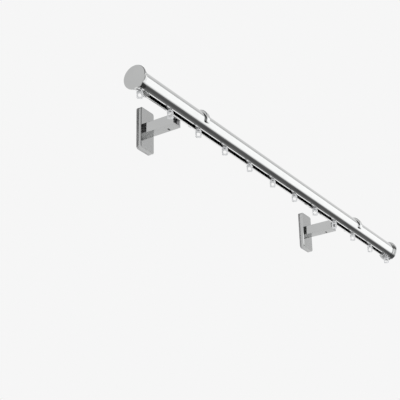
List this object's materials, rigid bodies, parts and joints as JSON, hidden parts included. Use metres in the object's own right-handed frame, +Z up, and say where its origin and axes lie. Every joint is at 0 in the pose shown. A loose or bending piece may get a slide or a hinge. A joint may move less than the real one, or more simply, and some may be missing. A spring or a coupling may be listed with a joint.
{
  "type": "curtain track",
  "caption": "Round chrome curtain pole with an inner glider track, flat disc end caps and wall brackets with square hollow arms and pole clips.",
  "frame": {"origin": "middle of the left bracket's wall face, on the wall", "axes": "+X along the pole to the right, seen from the room; +Y into the wall; +Z up"},
  "size_m": [0.796, 0.1153, 0.0722],
  "materials": {
    "pole_chrome": "polished chrome",
    "cap_chrome": "polished chrome",
    "plate_steel": "dark zinc-plated steel",
    "bracket_chrome": "polished chrome",
    "clip_chrome": "polished chrome",
    "screw_steel": "turned zinc-plated steel",
    "guide_plastic": "black moulded plastic",
    "glider_plastic": "clear moulded plastic",
    "stop_plastic": "milky moulded plastic"
  },
  "bodies": {
    "track": {"track_pole": "pole_chrome", "wall_plate_left": "plate_steel", "wall_plate_right": "plate_steel", "bracket_arm_left": "bracket_chrome", "bracket_arm_right": "bracket_chrome", "arm_guide_left": "guide_plastic", "arm_guide_right": "guide_plastic", "arm_bolt_left": "screw_steel", "arm_bolt_right": "screw_steel", "pole_clip_left": "clip_chrome", "pole_clip_right": "clip_chrome", "clip_screw_left": "screw_steel", "clip_screw_right": "screw_steel", "end_cap_left": "cap_chrome", "end_cap_right": "cap_chrome", "end_stop_left": "stop_plastic", "end_stop_right": "stop_plastic", "end_stop_screw_left": "screw_steel", "end_stop_screw_right": "screw_steel"},
    "glider_01": {"glider_01": "glider_plastic"},
    "glider_02": {"glider_02": "glider_plastic"},
    "glider_03": {"glider_03": "glider_plastic"},
    "glider_04": {"glider_04": "glider_plastic"},
    "glider_05": {"glider_05": "glider_plastic"},
    "glider_06": {"glider_06": "glider_plastic"},
    "glider_07": {"glider_07": "glider_plastic"},
    "glider_08": {"glider_08": "glider_plastic"},
    "glider_09": {"glider_09": "glider_plastic"},
    "glider_10": {"glider_10": "glider_plastic"},
    "glider_11": {"glider_11": "glider_plastic"},
    "glider_12": {"glider_12": "glider_plastic"}
  },
  "joints": [
    {"name": "glider_01_slide", "type": "slide", "parent": "track", "child": "glider_01", "axis": [1, 0, 0], "range_m": [-0.0006, 0.0044]},
    {"name": "glider_02_slide", "type": "slide", "parent": "track", "child": "glider_02", "axis": [1, 0, 0], "range_m": [-0.031, 0.031]},
    {"name": "glider_03_slide", "type": "slide", "parent": "track", "child": "glider_03", "axis": [1, 0, 0], "range_m": [-0.031, 0.031]},
    {"name": "glider_04_slide", "type": "slide", "parent": "track", "child": "glider_04", "axis": [1, 0, 0], "range_m": [-0.031, 0.031]},
    {"name": "glider_05_slide", "type": "slide", "parent": "track", "child": "glider_05", "axis": [1, 0, 0], "range_m": [-0.031, 0.031]},
    {"name": "glider_06_slide", "type": "slide", "parent": "track", "child": "glider_06", "axis": [1, 0, 0], "range_m": [-0.031, 0.031]},
    {"name": "glider_07_slide", "type": "slide", "parent": "track", "child": "glider_07", "axis": [1, 0, 0], "range_m": [-0.031, 0.031]},
    {"name": "glider_08_slide", "type": "slide", "parent": "track", "child": "glider_08", "axis": [1, 0, 0], "range_m": [-0.031, 0.031]},
    {"name": "glider_09_slide", "type": "slide", "parent": "track", "child": "glider_09", "axis": [1, 0, 0], "range_m": [-0.031, 0.031]},
    {"name": "glider_10_slide", "type": "slide", "parent": "track", "child": "glider_10", "axis": [1, 0, 0], "range_m": [-0.031, 0.031]},
    {"name": "glider_11_slide", "type": "slide", "parent": "track", "child": "glider_11", "axis": [1, 0, 0], "range_m": [-0.031, 0.031]},
    {"name": "glider_12_slide", "type": "slide", "parent": "track", "child": "glider_12", "axis": [1, 0, 0], "range_m": [-0.0044, 0.0006]}
  ]
}
